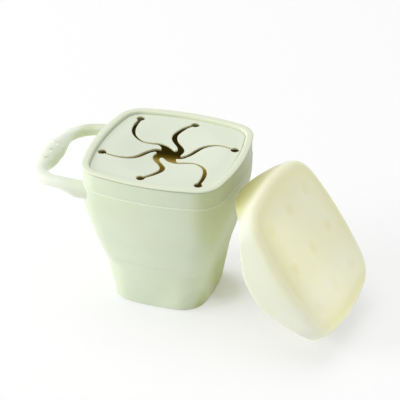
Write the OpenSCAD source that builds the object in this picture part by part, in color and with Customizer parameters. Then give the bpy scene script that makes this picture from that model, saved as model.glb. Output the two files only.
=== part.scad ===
// Toddler snack container: a folding silicone cup with a loop handle, a flap lid pushed
// into its mouth, and a separate dust cover that leans against the cup.
// Millimetres. +Z is up and the origin is the centre of the base, on the table.
// The handle points to -X and the dust cover stands at +X.
// Every outline is a rounded square: four slightly bowed sides joined by corner arcs.

/* [Cup] */
// Half width of the cup at the ledge under the rim band
rim_half = 46; // [42:0.5:50]
// Corner radius of the rim
rim_corner = 16.5; // [14:0.5:19]
// Radius of the bowed sides
side_bow = 138; // [120:2:220]
// Height of the ledge where the wall ends and the rim band begins
ledge_z = 80; // [74:0.5:88]
// Width of the ledge, by which the band sits back from the wall
ledge_step = 0.35; // [0.2:0.05:0.6]
// Height of the rim band above the ledge
band_h = 9; // [7.5:0.1:11]
// Lean of the band towards its top edge
band_lean = 0.6; // [0:0.1:1]
// Wall thickness of the band
band_wall = 2.5; // [2:0.1:3.2]
// Half width at the upper crease, where the stiff upper wall ends
upper_crease_half = 38.5; // [37:0.25:41]
// Height of the upper crease
upper_crease_z = 46; // [42:0.5:50]
// Half width at the lower crease, where the stiff lower wall ends
lower_crease_half = 34.4; // [32.5:0.25:35]
// Height of the lower crease
lower_crease_z = 31.5; // [27:0.5:35]
// Corner radius at the two creases
crease_corner = 16; // [13:0.5:18]
// Half width of the base
base_half = 28.9; // [26:0.25:31]
// Corner radius of the base
base_corner = 15; // [12:0.5:17]
// Rounding under the base edge
base_edge = 1.6; // [0.8:0.1:2.5]
// Thickness of the stiff walls
wall = 2.2; // [1.6:0.1:2.8]
// Thickness of the soft wall between the creases
fold_wall = 1.4; // [1:0.1:1.6]
// Thickness of the floor
floor_t = 3; // [2:0.1:4]

/* [Handle] */
// Distance from the ledge wall out to the middle of the grip
handle_reach = 24.4; // [20:0.2:32]
// Height by which the grip stands above the roots of the arms
handle_rise = 1.6; // [0:0.2:3]
// Distance from the middle of the cup to each arm
arm_y = 34; // [30:0.25:35]
// Width of the arms, seen from above
arm_w = 6; // [5:0.1:7]
// Height of the arms
arm_h = 7; // [5.5:0.1:8]
// Extra width of an arm at the wall
root_flare = 1.6; // [0.8:0.1:2.5]
// Extra height of an arm at the wall, all of it on the underside
root_drop = 3; // [1:0.1:4]
// Length of an arm over which it swells towards the wall
root_len = 22; // [14:0.5:26]
// Plan radius of the loop's corner at the +Y arm
wide_corner = 21; // [16:0.5:23]
// Plan radius of the loop's corner at the -Y arm
tight_corner = 10.5; // [9:0.5:14]
// Width of the thick grip, seen from above
grip_w = 10.6; // [9:0.2:13]
// Height of the thick grip
grip_h = 12.4; // [10:0.2:14]
// Length of the thick grip between its two shoulders
grip_len = 20; // [16:0.5:24]
// Length of each shoulder of the grip
shoulder = 7; // [4:0.5:9]
// Place of the grip's middle along Y
grip_y = -6.5; // [-10:0.5:0]
// Outward bow of the grip
grip_bow = 0.8; // [0:0.1:2]

/* [Lid] */
// Height of the rounded bead around the lid
bead_h = 2; // [2:0.1:2.8]
// Width of the bead
bead_w = 4; // [3.6:0.1:5]
// How far the bead sits back from the edge of the ledge
bead_inset = 1.2; // [0.6:0.1:1.5]
// Rounding of the bead's edges
bead_round = 0.9; // [0.6:0.05:0.95]
// Seam between the bead and the top of the band
seam_gap = 0.3; // [0.2:0.05:0.6]
// Depth of the flap panel below the top of the bead
panel_drop = 1.7; // [1.3:0.1:2]
// Thickness of the flap panel
panel_t = 1.8; // [1.4:0.1:1.8]
// Depth of the plug that goes down into the mouth
plug_depth = 7; // [5:0.25:9]
// Clearance around the plug
plug_fit = 0.3; // [0.2:0.05:0.5]
// Radius of the round holes where the slits end
hole_r = 2.3; // [2:0.1:2.6]
// Angle by which the petals hang at rest
petal_droop = 4; // [0:0.5:7]
// Clearance behind the rolled root of a petal
root_gap = 0.3; // [0.2:0.05:0.5]
// Rounding of the petal tips
tip_round = 0.9; // [0.5:0.1:1.3]
// Radius of the clear middle where the petal tips end
star_r = 3.4; // [2.5:0.1:4.5]

/* [Dust cover] */
// Wall thickness of the cover
cover_wall = 1.2; // [1:0.1:1.8]
// Clearance between the cover and the bead that it is pushed over
cover_fit = 0.4; // [0.2:0.05:0.6]
// Corner radius of the cover
cover_corner = 19.5; // [17:0.5:22]
// Depth of the cover, from the middle of its wavy edge to the top face
cover_depth = 17.4; // [15:0.2:22]
// Rounding between the side and the top face of the cover
cover_round = 6.4; // [4:0.2:8]
// Height of the waves in the edge: long at the sides, short at the corners
cover_wave = 5.5; // [3:0.25:6]
// Lean of the cover from lying flat
cover_tilt = 55; // [50:0.5:60]
// Turn of the leaning cover about the upright axis
cover_turn = -3.8; // [-6:0.2:6]
// Turn of the cover about its own axis
cover_spin = -1.4; // [-4:0.2:4]
// Place of the cover's middle along Y
cover_y = -10; // [-14:0.5:6]
// Clearance between the cover and the wall that it leans on
lean_gap = 0.3; // [0.2:0.05:0.5]
// Clearance between the cover and the table
table_gap = 0.1; // [0.05:0.05:0.3]

/* [Hidden] */

sage = [0.85, 0.90, 0.80];
sage_light = [0.88, 0.92, 0.84];
cream = [0.91, 0.92, 0.80];

// Facets: points along one side, points round one corner, steps in one edge rounding
side_steps = 8;
corner_steps = 8;
edge_steps = 4;

band_top = ledge_z + band_h;
band_low_half = rim_half - ledge_step;
band_top_half = band_low_half - band_lean;
mouth_half = band_top_half - band_wall;
lip_round = 0.6;
neck_drop = 1;
plug_wall = 1.2;

bead_half = rim_half - bead_inset;
bead_z = band_top + seam_gap;
bead_top = bead_z + bead_h;
panel_half = bead_half - bead_w;
panel_top = bead_top - panel_drop;
panel_mid = panel_top - panel_t / 2;
plug_half = mouth_half - plug_fit;
plug_z = band_top - plug_depth;
plug_base = panel_top - panel_t;

// ---- Outlines and lofts ----

// Corner radius of the rim's outline where it is drawn at another half width
function rim_corner_at(half) = rim_corner - (rim_half - half);

// Distance from the middle to the centre of a corner arc
function corner_centre(half, corner) =
    let (a = half - side_bow)
    (a + sqrt(2 * pow(side_bow - corner, 2) - a * a)) / 2;

// One quarter of the rounded square: a bowed side about +X, then the corner after it
function quarter(half, corner) =
    let (a = half - side_bow, c = corner_centre(half, corner), th = atan2(c, c - a))
    concat(
        [for (i = [0 : side_steps - 1]) let (t = th * (2 * i / side_steps - 1))
            [a + side_bow * cos(t), side_bow * sin(t)]],
        [for (i = [0 : corner_steps - 1]) let (t = th + (90 - 2 * th) * i / corner_steps)
            [c + corner * cos(t), c + corner * sin(t)]]);

function turn(p, angle) = [p.x * cos(angle) - p.y * sin(angle), p.x * sin(angle) + p.y * cos(angle)];

// The rounded square as a closed list of plan points
function outline(half, corner) =
    let (q = quarter(half, corner))
    [for (k = [0 : 3]) each [for (p = q) turn(p, 90 * k)]];

// The rounded square at height z; wave > 0 dips the middle of each side and lifts the corners
function ring(half, corner, z, wave = 0) =
    [for (p = outline(half, corner)) [p.x, p.y, z - wave * cos(4 * atan2(p.y, p.x))]];

// Two triangles between neighbouring points of one ring and the next
function strip(n, low, high) =
    [for (i = [0 : n - 1]) let (j = (i + 1) % n)
        each [[low + i, high + i, high + j], [low + i, high + j, low + j]]];

// Solid through the rings, closed by a flat face at each end
module loft(rings) {
    n = len(rings[0]);
    last = (len(rings) - 1) * n;
    polyhedron(
        points = [for (r = rings) each r],
        faces = concat(
            [[for (i = [0 : n - 1]) i]],
            [for (k = [1 : len(rings) - 1]) each strip(n, (k - 1) * n, k * n)],
            [[for (i = [n - 1 : -1 : 0]) last + i]]));
}

// Solid through the rings, the last joined to the first, with a hollow middle
module hoop(rings) {
    n = len(rings[0]);
    count = len(rings);
    polyhedron(
        points = [for (r = rings) each r],
        faces = [for (k = [0 : count - 1]) each strip(n, k * n, ((k + 1) % count) * n)]);
}

// Rings round an edge of radius r whose arc is centred at half width h and height z
function edge(h, z, r, from, to) =
    [for (i = [0 : edge_steps]) let (t = from + (to - from) * i / edge_steps, half = h + r * cos(t))
        ring(half, rim_corner_at(half), z + r * sin(t))];

// ---- Cup ----

// Half width and corner radius of the upper wall's outside at height z
function upper_share(z) = (z - upper_crease_z) / (ledge_z - upper_crease_z);
function upper_half_at(z) = upper_crease_half + (rim_half - upper_crease_half) * upper_share(z);
function upper_corner_at(z) = crease_corner + (rim_corner - crease_corner) * upper_share(z);

// Outside of the upper cup, from the upper crease to the top of the band
function upper_outside() = concat(
    [ring(upper_crease_half, crease_corner, upper_crease_z),
     ring(rim_half, rim_corner, ledge_z),
     ring(band_low_half, rim_corner_at(band_low_half), ledge_z)],
    edge(band_top_half - lip_round, band_top - lip_round, lip_round, 0, 90));

// Inside of the upper cup, from the mouth back down to the upper crease
function upper_inside() = concat(
    edge(mouth_half + lip_round, band_top - lip_round, lip_round, 90, 180),
    [ring(mouth_half, rim_corner_at(mouth_half), plug_z - neck_drop),
     ring(upper_crease_half - wall, crease_corner - wall, upper_crease_z)]);

module upper_cup() {
    color(sage) hoop(concat(upper_outside(), upper_inside()));
}

// Soft wall between the creases; it turns inside out when the cup is pressed flat
module fold_ring() {
    color(sage) hoop([
        ring(lower_crease_half, crease_corner, lower_crease_z),
        ring(upper_crease_half, crease_corner, upper_crease_z),
        ring(upper_crease_half - fold_wall, crease_corner - fold_wall, upper_crease_z),
        ring(lower_crease_half - fold_wall, crease_corner - fold_wall, lower_crease_z)]);
}

// Floor and stiff lower wall
module lower_cup() {
    foot_half = base_half - base_edge;
    foot_corner = base_corner - base_edge;
    foot_t = floor_t / 3;
    color(sage) {
        linear_extrude(foot_t) polygon(outline(foot_half, foot_corner));
        loft([
            ring(foot_half, foot_corner, foot_t),
            ring(base_half, base_corner, foot_t + base_edge),
            ring(lower_crease_half, crease_corner, lower_crease_z),
            ring(lower_crease_half - wall, crease_corner - wall, lower_crease_z),
            ring(base_half - wall, base_corner - wall, floor_t + base_edge),
            ring(base_half - wall - base_edge, base_corner - wall - base_edge, floor_t)]);
    }
}

// ---- Handle ----

// The middle line of the loop, from the +Y arm's root round the grip to the -Y arm's root
arm_top = ledge_z - ledge_step;
grip_x = -(rim_half + handle_reach);
root_x = rim_corner - rim_half;
wide_y = arm_y - wide_corner;
tight_y = tight_corner - arm_y;
arm_steps = 5;
loop_steps = 8;
section_steps = 14;

function arm_line(side, corner) = let (end_x = grip_x + corner)
    [for (i = [0 : arm_steps - 1]) [root_x + (end_x - root_x) * i / arm_steps, side * arm_y]];
function corner_line(side, corner) =
    [for (i = [0 : loop_steps - 1]) let (t = 90 * i / loop_steps)
        [grip_x + corner * (1 - sin(t)), side * (arm_y - corner * (1 - cos(t)))]];
function grip_line() =
    [for (i = [0 : loop_steps]) let (t = i / loop_steps)
        [grip_x - grip_bow * 4 * t * (1 - t), wide_y + (tight_y - wide_y) * t]];
function backwards(list) = [for (i = [len(list) - 1 : -1 : 0]) list[i]];
loop_line = concat(arm_line(1, wide_corner), corner_line(1, wide_corner), grip_line(),
                   backwards(corner_line(-1, tight_corner)), backwards(arm_line(-1, tight_corner)));

// 0 to 1 as x goes from 0 to 1, with smooth ends
function ease(x) = let (t = min(max(x, 0), 1)) t * t * (3 - 2 * t);

// Shares of the grip, of the swelling at the wall and of the rise at a point of the line
function grip_share(p) = p.x > grip_x + tight_corner ? 0
    : ease((grip_len / 2 + shoulder - abs(p.y - grip_y)) / shoulder);
function root_share(p) = ease((p.x + rim_half + root_len) / root_len);
function rise_share(p) = min(max(-(p.x + rim_half) / handle_reach, 0), 1);

function section(i) =
    let (p = loop_line[i], last = len(loop_line) - 1,
         d = loop_line[min(i + 1, last)] - loop_line[max(i - 1, 0)],
         across = [-d.y, d.x] / norm(d), g = grip_share(p), f = root_share(p),
         a = (arm_w + root_flare * f + (grip_w - arm_w) * g) / 2,
         b = (arm_h + root_drop * f + (grip_h - arm_h) * g) / 2,
         z = arm_top - (arm_h + root_drop * f) / 2 + handle_rise * rise_share(p))
    [for (k = [0 : section_steps - 1]) let (t = 360 * k / section_steps)
        [p.x + across.x * a * cos(t), p.y + across.y * a * cos(t), z + b * sin(t)]];

// The loop, cut away where the cup's wall is so that the two meet face to face
module handle() {
    color(sage_light) difference() {
        loft([for (i = [0 : len(loop_line) - 1]) section(i)]);
        loft(upper_outside());
    }
}

// ---- Lid ----

// Three slits as [x, y, width] from the end hole to the middle, drawn for a panel of
// half width 40.8; the other three are the same turned by half a turn
drawn_half = 40.8;
slit_a = [[-28.7, 31.2, 1.0], [-29.3, 25, 1.0], [-28.4, 17.5, 1.0], [-25, 11.2, 1.0], [-18.8, 7.3, 1.0],
          [-13, 7.5, 1.1], [-8.7, 8.4, 1.5], [-4.6, 6, 3.6], [0, 0, 6]];
slit_b = [[4.5, 34.1, 1.4], [1.4, 31, 1.6], [-1.6, 26.5, 2.0], [-3.4, 21, 2.3], [-2.6, 16.7, 2.5],
          [0, 13.2, 2.6], [3, 10.4, 3.2], [4.9, 7.2, 3.6], [4.4, 3.6, 4], [0, 0, 6]];
slit_c = [[35.7, 13.3, 1.2], [32, 14.5, 1.0], [27, 15.4, 1.2], [22, 14.8, 1.8], [17.5, 12.3, 2.4],
          [14.8, 8.4, 2.8], [12.8, 3.9, 2.8], [10.8, 0.6, 2.6], [7.4, -1.9, 3.2], [0, 0, 6]];
slit_steps = 4;
panel_scale = panel_half / drawn_half;

function scaled(p) = [p.x * panel_scale, p.y * panel_scale, p.z];
function turned_back(p) = [-p.x, -p.y, p.z];

// Smooth curve through the points of p, slit_steps pieces from each point to the next
function smooth(p) =
    let (last = len(p) - 1)
    concat([for (i = [0 : last - 1]) each
        [for (k = [0 : slit_steps - 1])
            let (t = k / slit_steps, a = p[max(i - 1, 0)], b = p[i], c = p[i + 1], d = p[min(i + 2, last)])
            (2 * b + (c - a) * t + (2 * a - 5 * b + 4 * c - d) * t * t + (3 * b - a - 3 * c + d) * t * t * t) / 2]],
        [p[last]]);

half_slits = [for (s = [slit_a, slit_b, slit_c]) smooth([for (p = s) scaled(p)])];
slits = concat(half_slits, [for (s = half_slits) [for (p = s) turned_back(p)]]);
function hole_at(i) = let (p = slits[i % 6][0]) [p.x, p.y];
function xy(list) = [for (p = list) [p.x, p.y]];

// The open strip of one slit
module slit(i) {
    s = slits[i];
    last = len(s) - 1;
    sides = [for (k = [0 : last]) let (d = s[min(k + 1, last)] - s[max(k - 1, 0)], u = [-d.y, d.x] / norm([d.x, d.y]))
        u * s[k].z / 2];
    polygon(concat(
        [for (k = [0 : last]) [s[k].x, s[k].y] + sides[k]],
        [for (k = [last : -1 : 0]) [s[k].x, s[k].y] - sides[k]]));
}

// Length and direction of the root line between the end holes of slit i and the next
root_r = panel_t / 2;
function root_vector(i) = hole_at(i + 1) - hole_at(i);
function root_length(i) = norm(root_vector(i));
function root_angle(i) = let (v = root_vector(i)) atan2(v.y, v.x);

// Where the rolled root can start, as a distance from hole h along the direction u: past
// the hole, and past the stretch where slit s runs too close beside the root line
function root_start(h, u, s) =
    let (along = [for (p = s) (p.x - h.x) * u.x + (p.y - h.y) * u.y],
         off = [for (p = s) abs((p.x - h.x) * u.y - (p.y - h.y) * u.x) + p.z / 2])
    root_gap + max([hole_r, for (k = [0 : len(s) / 2])
        if (along[k] >= 0 && off[k] < root_r + root_gap) along[k + 1]]);
function root_from(i) = root_start(hole_at(i), root_vector(i) / root_length(i), slits[i]);
function root_to(i) = root_length(i)
    - root_start(hole_at(i + 1), -root_vector(i) / root_length(i), slits[(i + 1) % 6]);

// Puts children, drawn with the root line along +X, on the root line of petal i
module on_root(i) {
    translate([hole_at(i).x, hole_at(i).y, panel_mid]) rotate([0, 0, root_angle(i)]) children();
}

// Plan of petal i: the panel between two slits, from its root line to its rounded tip
module petal_plan(i) {
    offset(r = tip_round, $fn = 20) offset(delta = -tip_round) difference() {
        polygon(concat(xy(slits[i]), backwards(xy(slits[(i + 1) % 6]))));
        slit(i);
        slit((i + 1) % 6);
        circle(r = star_r, $fn = 32);
        for (k = [i, i + 1]) translate(hole_at(k)) circle(r = hole_r, $fn = 32);
    }
}

// One petal: the flat flap and the rolled root that it swings on
module petal(i) {
    on_root(i) rotate([petal_droop, 0, 0]) {
        translate([0, 0, -panel_t / 2]) linear_extrude(panel_t) intersection() {
            rotate(-root_angle(i)) translate(-hole_at(i)) petal_plan(i);
            union() {
                translate([root_from(i), -panel_half])
                    square([root_to(i) - root_from(i), panel_half]);
                translate([-panel_half, -panel_half])
                    square([root_length(i) + 2 * panel_half, panel_half - root_r]);
            }
        }
        translate([root_from(i), 0, 0]) rotate([0, 90, 0])
            cylinder(r = root_r, h = root_to(i) - root_from(i), $fn = 32);
    }
}

module petal_1() { color(sage_light) petal(0); }
module petal_2() { color(sage_light) petal(1); }
module petal_3() { color(sage_light) petal(2); }
module petal_4() { color(sage_light) petal(3); }
module petal_5() { color(sage_light) petal(4); }
module petal_6() { color(sage_light) petal(5); }

// Bead and plug in one ring, with the panel's border inside it
module snack_lid() {
    inner = bead_half - bead_w;
    plug_in = min(inner, plug_half - plug_wall);
    color(sage_light) {
        hoop(concat(
            [ring(plug_half, rim_corner_at(plug_half), plug_z),
             ring(plug_half, rim_corner_at(plug_half), bead_z)],
            edge(bead_half - bead_round, bead_z + bead_round, bead_round, -90, 0),
            edge(bead_half - bead_round, bead_top - bead_round, bead_round, 0, 90),
            edge(inner + bead_round, bead_top - bead_round, bead_round, 90, 180),
            [ring(inner, rim_corner_at(inner), panel_top),
             ring(inner, rim_corner_at(inner), plug_base),
             ring(plug_in, rim_corner_at(plug_in), plug_z)]));
        translate([0, 0, plug_base]) linear_extrude(panel_t) difference() {
            polygon(outline(inner, rim_corner_at(inner)));
            polygon([for (i = [0 : 5]) hole_at(i)]);
            for (i = [0 : 5]) {
                slit(i);
                translate(hole_at(i)) circle(r = hole_r, $fn = 32);
                translate(hole_at(i)) rotate(root_angle(i))
                    translate([root_from(i) - root_gap, -root_r - root_gap])
                        square([root_to(i) - root_from(i) + 2 * root_gap, 2 * (root_r + root_gap)]);
            }
        }
    }
}

// ---- Dust cover ----

cover_half = bead_half + cover_fit + cover_wall;

// Height of the cover's middle, so that its lowest edge stands on the table
cover_z = cover_half * sin(cover_tilt) + cover_wave * cos(cover_tilt) + table_gap;
// Height where its upper edge touches the cup, on the wall or on the band above the ledge,
// and the place that this gives it along X
lean_z = cover_z + cover_half * sin(cover_tilt) - cover_wave * cos(cover_tilt);
lean_half = lean_z < ledge_z ? upper_half_at(lean_z) : band_low_half;
cover_x = lean_half + cover_half * cos(cover_tilt) + cover_wave * sin(cover_tilt) + lean_gap;

// Side, rounding and top face of a cover-shaped form set in by d from the outside
function cover_skin(d) = concat(
    [ring(cover_half - d, cover_corner - d, 0, cover_wave)],
    [for (i = [0 : edge_steps + 1]) let (t = 90 * i / (edge_steps + 1), r = cover_round - d,
                                        in = d + r * (1 - cos(t)))
        ring(cover_half - in, cover_corner - in, cover_depth - cover_round + r * sin(t))]);

module cover() {
    color(cream) translate([cover_x, cover_y, cover_z])
        rotate([0, 0, cover_turn]) rotate([0, cover_tilt, 0]) rotate([0, 0, cover_spin])
            loft(concat(backwards(cover_skin(cover_wall)), cover_skin(0)));
}

upper_cup();
handle();
fold_ring();
lower_cup();
snack_lid();
petal_1();
petal_2();
petal_3();
petal_4();
petal_5();
petal_6();
cover();
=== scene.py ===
"""A toddler's folding snack cup: cup, flap lid, loop handle and leaning dust cover."""

import logging
import math
from dataclasses import dataclass, field, replace
from enum import Enum
from functools import cached_property
from typing import Callable, Sequence

import bmesh
import bpy
from mathutils import Matrix, Vector


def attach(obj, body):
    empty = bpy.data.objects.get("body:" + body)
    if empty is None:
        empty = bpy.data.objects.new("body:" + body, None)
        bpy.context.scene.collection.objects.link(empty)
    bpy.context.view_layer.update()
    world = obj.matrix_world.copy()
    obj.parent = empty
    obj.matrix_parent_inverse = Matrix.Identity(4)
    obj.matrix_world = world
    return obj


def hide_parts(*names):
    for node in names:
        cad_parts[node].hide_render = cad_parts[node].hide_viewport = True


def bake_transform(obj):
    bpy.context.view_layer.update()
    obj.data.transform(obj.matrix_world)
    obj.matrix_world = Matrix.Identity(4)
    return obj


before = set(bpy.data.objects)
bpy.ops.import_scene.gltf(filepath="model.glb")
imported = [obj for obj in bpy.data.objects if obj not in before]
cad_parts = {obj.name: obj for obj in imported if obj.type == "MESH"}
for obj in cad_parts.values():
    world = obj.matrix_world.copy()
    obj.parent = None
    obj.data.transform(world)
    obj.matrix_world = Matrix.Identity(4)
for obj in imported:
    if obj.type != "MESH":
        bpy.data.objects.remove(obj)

MM = 0.001
DOUBLED = 1e-7
CUT_SLACK = 1e-6
START_RADIUS = 10 * MM
PETALS = 6
UP = (0.0, 0.0, 1.0)
LOG = logging.getLogger("snack_cup")

Piece = bpy.types.Object
Socket = bpy.types.NodeSocket
Ring = list[Vector]
Pair = tuple[float, float]
Triple = tuple[float, float, float]
Four = tuple[float, float, float, float]


class Ends(Enum):
    """How a loft is closed: a flat face at each end, or its last ring joined to its first."""

    FLAT = "flat"
    JOINED = "joined"


class Cut(Enum):
    """What one closed piece does to another: it is added to it, or cut out of it."""

    UNION = "UNION"
    DIFFERENCE = "DIFFERENCE"


class Body(Enum):
    """The moving bodies that the pieces ride on."""

    CUP = "cup"
    BASE = "base"
    LID = "lid"
    COVER = "dust_cover"


def flap_body(number: int) -> str:
    """Name of the body of petal number, counted from 1."""
    return f"flap_{number}"


# ---- Modelling steps that the pieces share ----


def clear_selection() -> None:
    """Leaves edit mode and deselects every object."""
    if bpy.context.mode != "OBJECT":
        bpy.ops.object.mode_set(mode="OBJECT")
    bpy.ops.object.select_all(action="DESELECT")


def pick(piece: Piece) -> None:
    """Makes a piece the only selected object and the active one.

    Args:
        piece: The piece.
    """
    clear_selection()
    piece.select_set(True)
    bpy.context.view_layer.objects.active = piece


def edit_mesh(piece: Piece) -> bmesh.types.BMesh:
    """Gives the mesh of a piece in edit mode, with its indices up to date.

    Args:
        piece: The piece that is in edit mode.

    Returns:
        The edit mesh.
    """
    mesh = bmesh.from_edit_mesh(piece.data)
    mesh.verts.ensure_lookup_table()
    mesh.verts.index_update()
    return mesh


def place_ring(piece: Piece, order: Sequence[int], ring: Ring) -> None:
    """Puts vertices on the points of a ring.

    Args:
        piece: The piece in edit mode.
        order: The vertices' numbers.
        ring: The points.
    """
    mesh = edit_mesh(piece)
    for index, point in zip(order, ring):
        mesh.verts[index].co = point
    bmesh.update_edit_mesh(piece.data)


def follow_extrude(piece: Piece, order: Sequence[int]) -> list[int]:
    """Finds the vertices that an extrude has just drawn out of a ring.

    Args:
        piece: The piece in edit mode, with the new ring selected.
        order: The old ring's vertex numbers, in order round it.

    Returns:
        The new ring's vertex numbers, in the same order.
    """
    mesh = edit_mesh(piece)
    old = set(order)
    drawn = []
    for index in order:
        vertex = mesh.verts[index]
        others = (edge.other_vert(vertex) for edge in vertex.link_edges)
        drawn.append(next(v.index for v in others if v.select and v.index not in old))
    return drawn


def face_outwards() -> None:
    """Turns all faces of the piece in edit mode outwards and leaves edit mode."""
    bpy.ops.mesh.select_all(action="SELECT")
    bpy.ops.mesh.normals_make_consistent(inside=False)
    bpy.ops.object.mode_set(mode="OBJECT")


def loft(name: str, rings: Sequence[Ring], ends: Ends) -> Piece:
    """Draws a circle out ring by ring into a closed form.

    Args:
        name: Name of the new piece.
        rings: Rings with the same number of points, in order along the form.
        ends: How the first and last ring are closed.

    Returns:
        The new piece.
    """
    clear_selection()
    fill = "NGON" if ends is Ends.FLAT else "NOTHING"
    bpy.ops.mesh.primitive_circle_add(vertices=len(rings[0]), radius=START_RADIUS, fill_type=fill)
    piece = bpy.context.object
    piece.name = name
    bpy.ops.object.mode_set(mode="EDIT")
    bpy.ops.mesh.select_all(action="SELECT")
    order = list(range(len(rings[0])))
    place_ring(piece, order, rings[0])
    drawn = list(rings[1:]) + ([rings[0]] if ends is Ends.JOINED else [])
    for ring in drawn:
        bpy.ops.mesh.extrude_region_move()
        order = follow_extrude(piece, order)
        place_ring(piece, order, ring)
    bpy.ops.mesh.select_all(action="SELECT")
    bpy.ops.mesh.remove_doubles(threshold=DOUBLED)
    face_outwards()
    return piece


def slab(name: str, outline: Sequence[Vector], low: float, high: float) -> Piece:
    """A flat slab with a plan outline, between two heights in millimetres."""
    return loft(name, [[Vector((p.x, p.y, z)) * MM for p in outline] for z in (low, high)], Ends.FLAT)


def smooth(piece: Piece, angle: float) -> None:
    """Shades the piece smooth across edges that turn by less than angle degrees."""
    pick(piece)
    bpy.ops.object.shade_smooth_by_angle(angle=math.radians(angle))


def combine(target: Piece, tool: Piece, cut: Cut) -> None:
    """Changes a closed piece by another one and removes that one.

    Args:
        target: The piece to change.
        tool: The piece that is added to it or cut out of it.
        cut: Which of the two.
    """
    pick(target)
    change = target.modifiers.new(cut.name, "BOOLEAN")
    change.operation, change.solver, change.object = cut.value, "EXACT", tool
    bpy.ops.object.modifier_apply(modifier=change.name)
    bpy.data.objects.remove(tool)


def paint_faces(piece: Piece, slot: int, wanted: Callable[[bpy.types.MeshPolygon], bool]) -> None:
    """Gives the faces that are wanted another material number.

    Args:
        piece: The piece.
        slot: Number of the material.
        wanted: Says whether a face gets it.
    """
    for face in piece.data.polygons:
        if wanted(face):
            face.material_index = slot


def curve_through(points: Sequence[Sequence[float]], steps: int) -> list[tuple[float, ...]]:
    """Smooth curve through the points.

    Args:
        points: Points of any dimension.
        steps: Pieces from each point to the next.

    Returns:
        The points of the curve, the last given point included.
    """
    last = len(points) - 1
    found = []
    for i in range(last):
        a, b, c, d = points[max(i - 1, 0)], points[i], points[i + 1], points[min(i + 2, last)]
        for k in range(steps):
            t = k / steps
            found.append(tuple(
                (2 * q + (r - p) * t + (2 * p - 5 * q + 4 * r - s) * t * t
                 + (3 * q - p - 3 * r + s) * t ** 3) / 2
                for p, q, r, s in zip(a, b, c, d)))
    found.append(tuple(points[last]))
    return found


def direction(points: Sequence[Sequence[float]], i: int) -> Vector:
    """Plan direction of a line of points at its point i."""
    before, after = points[max(i - 1, 0)], points[min(i + 1, len(points) - 1)]
    return Vector((after[0] - before[0], after[1] - before[1])).normalized()


def turned(angle: float) -> Vector:
    """Plan direction at an angle in radians."""
    return Vector((math.cos(angle), math.sin(angle)))


def ease(x: float) -> float:
    """0 to 1 as x goes from 0 to 1, with smooth ends."""
    t = min(max(x, 0.0), 1.0)
    return t * t * (3 - 2 * t)


# ---- The outline that the cup, lid and cover share ----


@dataclass(frozen=True)
class RoundSquare:
    """A square with slightly bowed sides and round corners, in millimetres."""

    half: float
    corner: float
    bow: float = 138.0

    @property
    def side_centre(self) -> float:
        """Place of the bowed side's centre along its own axis."""
        return self.half - self.bow

    @property
    def corner_centre(self) -> float:
        """Distance from both middle planes to the centre of the corner arc."""
        a = self.side_centre
        return (a + math.sqrt(2 * (self.bow - self.corner) ** 2 - a * a)) / 2

    @property
    def side_angle(self) -> float:
        """Half of the angle that a bowed side spans, in radians."""
        c = self.corner_centre
        return math.atan2(c, c - self.side_centre)

    def grown(self, by: float) -> "RoundSquare":
        """The same outline drawn further out by a distance."""
        return RoundSquare(self.half + by, self.corner + by, self.bow)

    def plan(self, side_steps: int = 22, corner_steps: int = 16) -> list[Pair]:
        """Points of the outline, in order round it.

        Args:
            side_steps: Points along each side.
            corner_steps: Points round each corner.

        Returns:
            Plan points in millimetres.
        """
        a, c, th = self.side_centre, self.corner_centre, self.side_angle
        quarter = []
        for i in range(side_steps):
            t = th * (2 * i / side_steps - 1)
            quarter.append((a + self.bow * math.cos(t), self.bow * math.sin(t)))
        for i in range(corner_steps):
            t = th + (math.pi / 2 - 2 * th) * i / corner_steps
            quarter.append((c + self.corner * math.cos(t), c + self.corner * math.sin(t)))
        points = []
        for cos, sin in ((1, 0), (0, 1), (-1, 0), (0, -1)):
            points += [(x * cos - y * sin, x * sin + y * cos) for x, y in quarter]
        return points

    def ring(self, z: float, wave: float = 0.0, ripple: float = 0.0) -> Ring:
        """The outline at height z, in metres.

        Args:
            z: Height in millimetres.
            wave: Height of waves that dip the sides' middles and lift the corners.
            ripple: Height of the finer waves that flatten the dips.

        Returns:
            The ring's points.
        """
        points = []
        for x, y in self.plan():
            turn = math.atan2(y, x)
            high = z - wave * math.cos(4 * turn) + ripple * math.cos(8 * turn)
            points.append(Vector((x, y, high)) * MM)
        return points

    def reach(self, across: float) -> float:
        """Distance from the middle plane to the outline.

        Args:
            across: Distance from the axis, along that plane.

        Returns:
            The distance in millimetres.
        """
        y, c = abs(across), self.corner_centre
        if y <= self.bow * math.sin(self.side_angle):
            return self.side_centre + math.sqrt(self.bow ** 2 - y * y)
        return c + math.sqrt(max(self.corner ** 2 - (y - c) ** 2, 0.0))


# ---- Finishes ----


class Way(Enum):
    """How a pattern goes from one value to the next."""

    LINEAR = "LINEAR"
    SMOOTH = "SMOOTHSTEP"
    EASE = "EASE"


class Measure(Enum):
    """What is measured of a place: its way along an axis, or its distance from a point."""

    ALONG = "DOT_PRODUCT"
    AWAY = "DISTANCE"


class Sum(Enum):
    """What is worked out from one or two values."""

    ADD = "ADD"
    SUBTRACT = "SUBTRACT"
    MULTIPLY = "MULTIPLY"
    MAXIMUM = "MAXIMUM"
    COSINE = "COSINE"


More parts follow.
